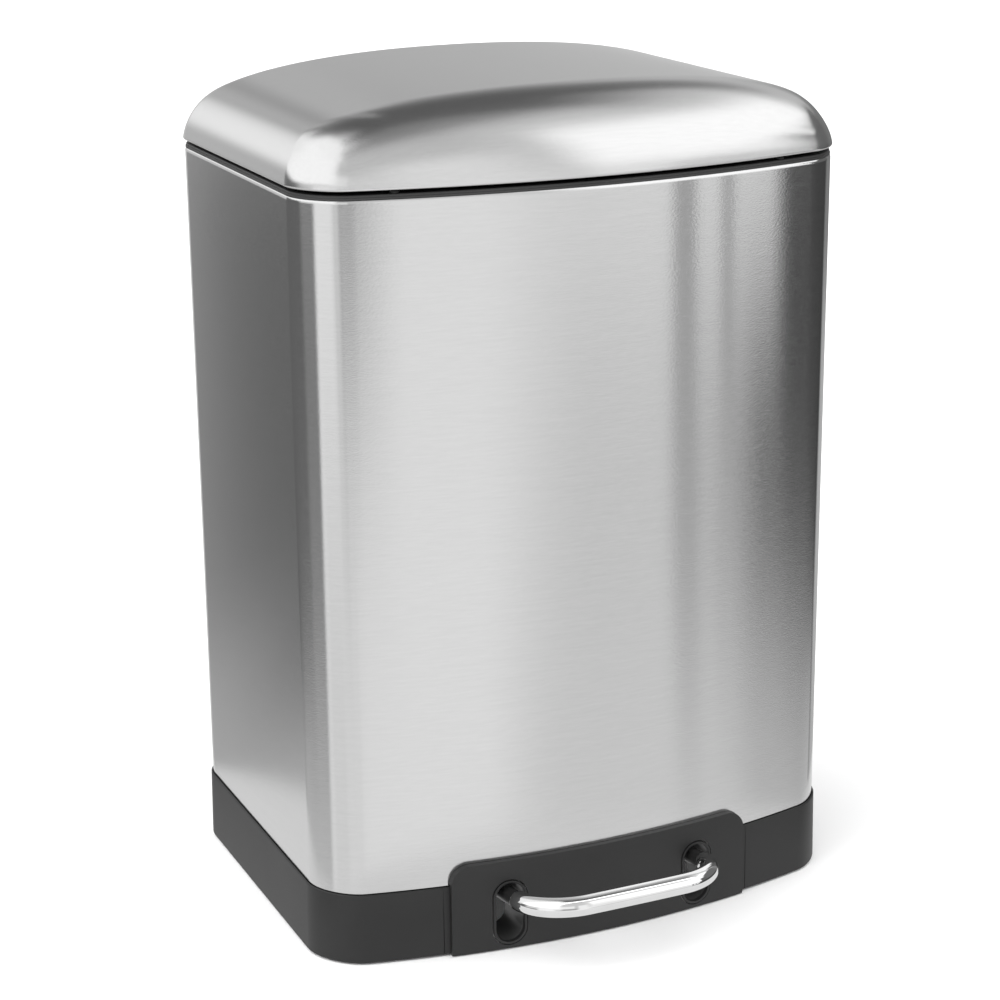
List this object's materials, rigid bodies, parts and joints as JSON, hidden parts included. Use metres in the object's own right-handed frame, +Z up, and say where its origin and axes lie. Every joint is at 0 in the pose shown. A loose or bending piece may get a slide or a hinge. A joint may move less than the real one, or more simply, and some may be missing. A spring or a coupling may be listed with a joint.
{
  "type": "pedal trash can",
  "caption": "Step-on kitchen trash can: bowed brushed steel body, domed hinged lid, lift-out bucket, and a bent pedal that raises the lid through a rod and crank.",
  "frame": {"origin": "on the floor, under the centre of the bounding box", "axes": "+Z up, +Y to the hinge side, -Y to the pedal side, +X to the right as seen from the front"},
  "size_m": [0.4312, 0.3979, 0.635],
  "materials": {
    "brushed_steel": "fine horizontal brushing, satin",
    "plain_steel": "zinc-plated pressed steel and wire",
    "black_steel": "black dip-painted pressed steel",
    "chrome": "mirror chrome",
    "black_plastic": "fine moulded satin",
    "grey_plastic": "moulded satin",
    "nylon": "natural nylon",
    "rubber": "matt"
  },
  "bodies": {
    "can": {"base_shell": "black_plastic", "foot_front_left": "rubber", "foot_front_right": "rubber", "foot_rear_left": "rubber", "foot_rear_right": "rubber", "body_shell": "brushed_steel", "top_collar": "black_plastic", "bumper_front_left": "rubber", "bumper_front_right": "rubber", "bumper_rear_left": "rubber", "bumper_rear_right": "rubber", "pedal_surround": "black_plastic", "fulcrum_bracket_left": "black_steel", "fulcrum_bracket_right": "black_steel", "fulcrum_shaft": "black_steel", "fulcrum_screw_1": "plain_steel", "fulcrum_screw_2": "plain_steel", "fulcrum_screw_3": "plain_steel", "fulcrum_screw_4": "plain_steel", "hinge_bracket": "plain_steel", "hinge_pin": "plain_steel", "hinge_cover": "black_plastic", "hinge_rivet_1": "plain_steel", "hinge_rivet_2": "plain_steel", "hinge_rivet_3": "plain_steel", "hinge_rivet_4": "plain_steel", "rod_guide": "nylon", "damper_cylinder": "grey_plastic", "damper_cap": "black_plastic"},
    "lid": {"lid_shell": "brushed_steel", "lid_liner": "black_plastic", "lid_hinge_plate": "plain_steel", "lid_screw_left": "plain_steel", "lid_screw_right": "plain_steel"},
    "pedal": {"pedal_tread": "chrome", "pedal_arm_left": "black_plastic", "pedal_arm_right": "black_plastic", "pedal_lever": "black_steel", "pedal_bush_left": "nylon", "pedal_bush_right": "nylon", "pedal_screw_left": "black_steel", "pedal_screw_right": "black_steel"},
    "lift_rod": {"lift_rod": "plain_steel", "rod_clip_upper": "plain_steel", "rod_clip_lower": "plain_steel", "damper_piston": "plain_steel", "damper_crosshead": "nylon"},
    "bucket": {"bucket": "grey_plastic"}
  },
  "joints": [
    {"name": "lid_hinge", "type": "hinge", "parent": "can", "child": "lid", "pos_m": [0, 0.1855, 0.568], "axis": [-1, 0, 0], "range_deg": [0, 75]},
    {"name": "pedal_hinge", "type": "hinge", "parent": "can", "child": "pedal", "pos_m": [0, -0.0025, 0.0219], "axis": [1, 0, 0], "range_deg": [0, 11.9]},
    {"name": "lift_rod_slide", "type": "slide", "parent": "can", "child": "lift_rod", "axis": [0, 0, 1], "range_m": [0, 0.0345]},
    {"name": "bucket_lift", "type": "slide", "parent": "can", "child": "bucket", "axis": [0, 0, 1], "range_m": [0, 0.009]}
  ],
  "couplings": [
    {"joint": "pedal_hinge", "follows": "lid_hinge", "ratio": 0.15816},
    {"joint": "lift_rod_slide", "follows": "lid_hinge", "m_per_rad": 0.026261}
  ]
}
